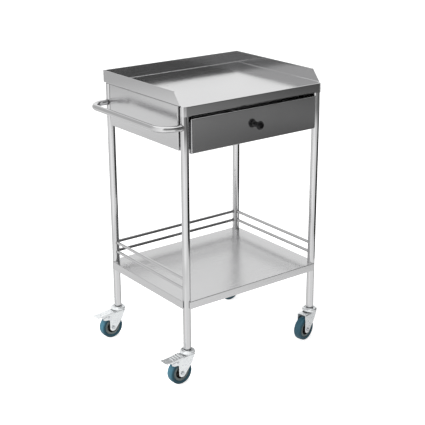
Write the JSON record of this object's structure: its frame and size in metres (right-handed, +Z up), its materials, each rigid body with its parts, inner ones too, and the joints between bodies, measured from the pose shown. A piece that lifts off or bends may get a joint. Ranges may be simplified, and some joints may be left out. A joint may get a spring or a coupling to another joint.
{
  "type": "instrument cart",
  "caption": "Stainless instrument cart: tray with raised edges over a drawer, lower shelf with guard rails, push handle on the left, swivel castors with toe brakes on the handle side.",
  "frame": {"origin": "on the floor, under the middle of the cart's overall outline with the drawer shut, castors as drawn", "axes": "+X to the right along the drawer side, +Y to the back, away from the drawer, +Z up; the push handle is on the -X side"},
  "size_m": [0.639, 0.4806, 0.936],
  "materials": {
    "stainless_tube": "satin brushed round tube and rod, grain along the length",
    "stainless_sheet": "satin brushed sheet, grain along the longer side",
    "zinc_steel": "bright zinc plated pressed steel",
    "steel_fastener": "zinc plated turned steel",
    "tread_rubber": "blue-grey elastic rubber, matte",
    "rim_plastic": "grey moulded plastic, matte",
    "black_plastic": "black moulded plastic, slight sheen"
  },
  "bodies": {
    "frame": {"leg_front_left": "stainless_tube", "leg_front_right": "stainless_tube", "leg_back_left": "stainless_tube", "leg_back_right": "stainless_tube", "push_handle": "stainless_tube", "rail_back_low": "stainless_tube", "rail_back_high": "stainless_tube", "rail_left_low": "stainless_tube", "rail_left_high": "stainless_tube", "rail_right_low": "stainless_tube", "rail_right_high": "stainless_tube", "top_tray": "stainless_sheet", "lower_shelf": "stainless_sheet", "housing_side_left": "stainless_sheet", "housing_side_right": "stainless_sheet", "housing_back": "stainless_sheet", "slide_bracket_left": "stainless_sheet", "slide_bracket_right": "stainless_sheet", "slide_fixed_left": "zinc_steel", "slide_fixed_right": "zinc_steel", "stem_plug_front_left": "black_plastic", "swivel_head_front_left": "zinc_steel", "stem_plug_front_right": "black_plastic", "swivel_head_front_right": "zinc_steel", "stem_plug_back_left": "black_plastic", "swivel_head_back_left": "zinc_steel", "stem_plug_back_right": "black_plastic", "swivel_head_back_right": "zinc_steel"},
    "drawer": {"drawer_front": "stainless_sheet", "drawer_box": "stainless_sheet", "slide_moving_left": "zinc_steel", "slide_moving_right": "zinc_steel", "drawer_knob": "black_plastic", "knob_screw": "steel_fastener"},
    "castor_front_left": {"castor_fork_front_left": "zinc_steel", "axle_bolt_front_left": "steel_fastener", "axle_nut_front_left": "steel_fastener", "pedal_pin_front_left": "steel_fastener"},
    "wheel_front_left": {"tyre_front_left": "tread_rubber", "wheel_rim_front_left": "rim_plastic"},
    "pedal_front_left": {"brake_pedal_front_left": "zinc_steel"},
    "castor_front_right": {"castor_fork_front_right": "zinc_steel", "axle_bolt_front_right": "steel_fastener", "axle_nut_front_right": "steel_fastener"},
    "wheel_front_right": {"tyre_front_right": "tread_rubber", "wheel_rim_front_right": "rim_plastic"},
    "castor_back_left": {"castor_fork_back_left": "zinc_steel", "axle_bolt_back_left": "steel_fastener", "axle_nut_back_left": "steel_fastener", "pedal_pin_back_left": "steel_fastener"},
    "wheel_back_left": {"tyre_back_left": "tread_rubber", "wheel_rim_back_left": "rim_plastic"},
    "pedal_back_left": {"brake_pedal_back_left": "zinc_steel"},
    "castor_back_right": {"castor_fork_back_right": "zinc_steel", "axle_bolt_back_right": "steel_fastener", "axle_nut_back_right": "steel_fastener"},
    "wheel_back_right": {"tyre_back_right": "tread_rubber", "wheel_rim_back_right": "rim_plastic"}
  },
  "joints": [
    {"name": "drawer_slide", "type": "slide", "parent": "frame", "child": "drawer", "axis": [0, -1, 0], "range_m": [0, 0.28]},
    {"name": "castor_front_left_swivel", "type": "hinge", "parent": "frame", "child": "castor_front_left", "pos_m": [-0.2255, -0.19925, 0.0984], "axis": [0, 0, 1], "continuous": true},
    {"name": "wheel_front_left_spin", "type": "hinge", "parent": "castor_front_left", "child": "wheel_front_left", "pos_m": [-0.2575, -0.19925, 0.04], "axis": [0, 1, 0], "continuous": true},
    {"name": "brake_front_left", "type": "hinge", "parent": "castor_front_left", "child": "pedal_front_left", "pos_m": [-0.2745, -0.19925, 0.0827], "axis": [0, -1, 0], "range_deg": [0, 8], "stiffness_Nm_per_rad": 3},
    {"name": "castor_front_right_swivel", "type": "hinge", "parent": "frame", "child": "castor_front_right", "pos_m": [0.2945, -0.19925, 0.0984], "axis": [0, 0, 1], "continuous": true},
    {"name": "wheel_front_right_spin", "type": "hinge", "parent": "castor_front_right", "child": "wheel_front_right", "pos_m": [0.2632, -0.2059, 0.04], "axis": [-0.2079, 0.9781, 0], "continuous": true},
    {"name": "castor_back_left_swivel", "type": "hinge", "parent": "frame", "child": "castor_back_left", "pos_m": [-0.2255, 0.21475, 0.0984], "axis": [0, 0, 1], "continuous": true},
    {"name": "wheel_back_left_spin", "type": "hinge", "parent": "castor_back_left", "child": "wheel_back_left", "pos_m": [-0.2575, 0.21475, 0.04], "axis": [0, 1, 0], "continuous": true},
    {"name": "brake_back_left", "type": "hinge", "parent": "castor_back_left", "child": "pedal_back_left", "pos_m": [-0.2745, 0.21475, 0.0827], "axis": [0, -1, 0], "range_deg": [0, 8], "stiffness_Nm_per_rad": 3},
    {"name": "castor_back_right_swivel", "type": "hinge", "parent": "frame", "child": "castor_back_right", "pos_m": [0.2945, 0.21475, 0.0984], "axis": [0, 0, 1], "continuous": true},
    {"name": "wheel_back_right_spin", "type": "hinge", "parent": "castor_back_right", "child": "wheel_back_right", "pos_m": [0.2625, 0.21475, 0.04], "axis": [0, 1, 0], "continuous": true}
  ]
}
